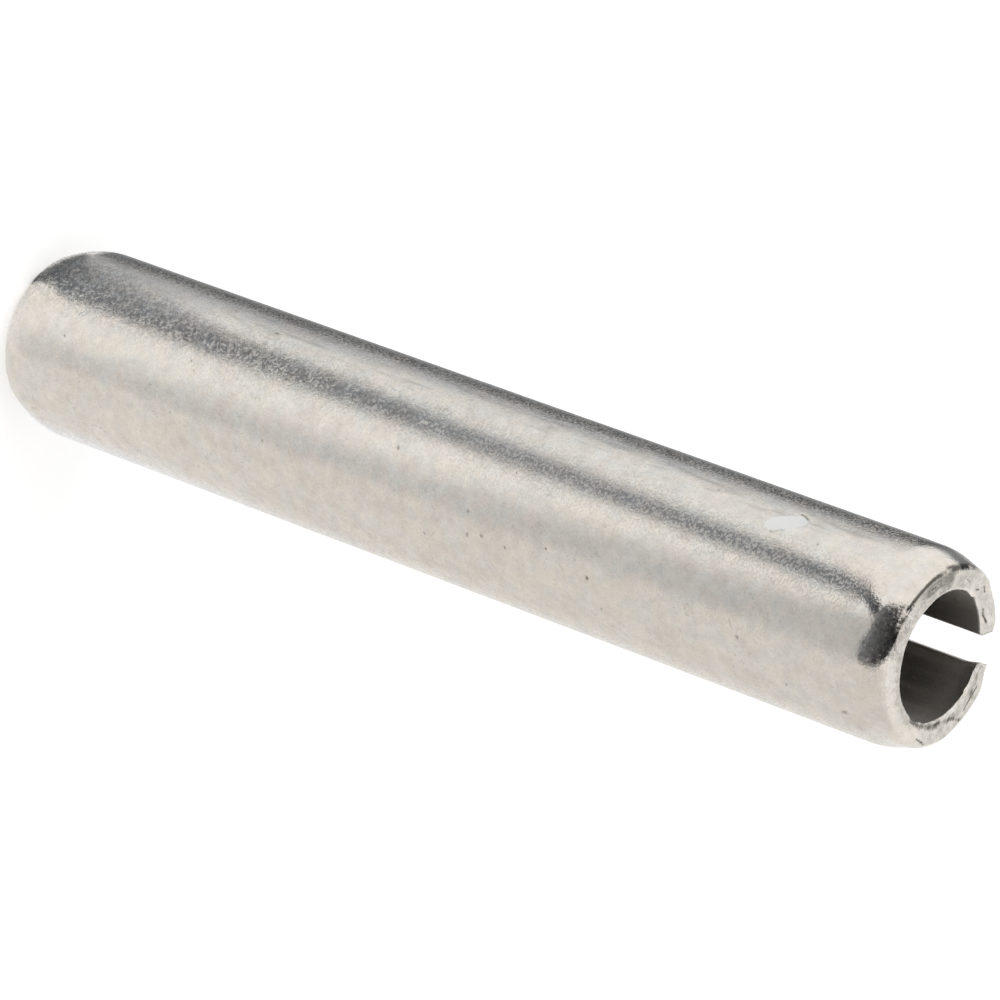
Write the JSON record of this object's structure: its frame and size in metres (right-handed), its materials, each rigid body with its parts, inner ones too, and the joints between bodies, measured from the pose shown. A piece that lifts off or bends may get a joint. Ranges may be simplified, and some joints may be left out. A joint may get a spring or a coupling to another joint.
{
  "type": "slotted spring pin",
  "caption": "Open tubular spring pin rolled from stainless strip, with a straight slot along its whole length and swaged ends.",
  "frame": {"origin": "centre of the lower end face, on the pin's axis", "axes": "+Z along the pin's axis towards the other end, +X from the axis towards the middle of the slot"},
  "size_m": [0.0085, 0.0086, 0.05],
  "materials": {
    "stainless": "satin, tumbled bright, with a fine grain of small dents; rougher on the end rings and darker in the bore"
  },
  "bodies": {
    "root": {"roll_pin": "stainless"}
  },
  "joints": []
}
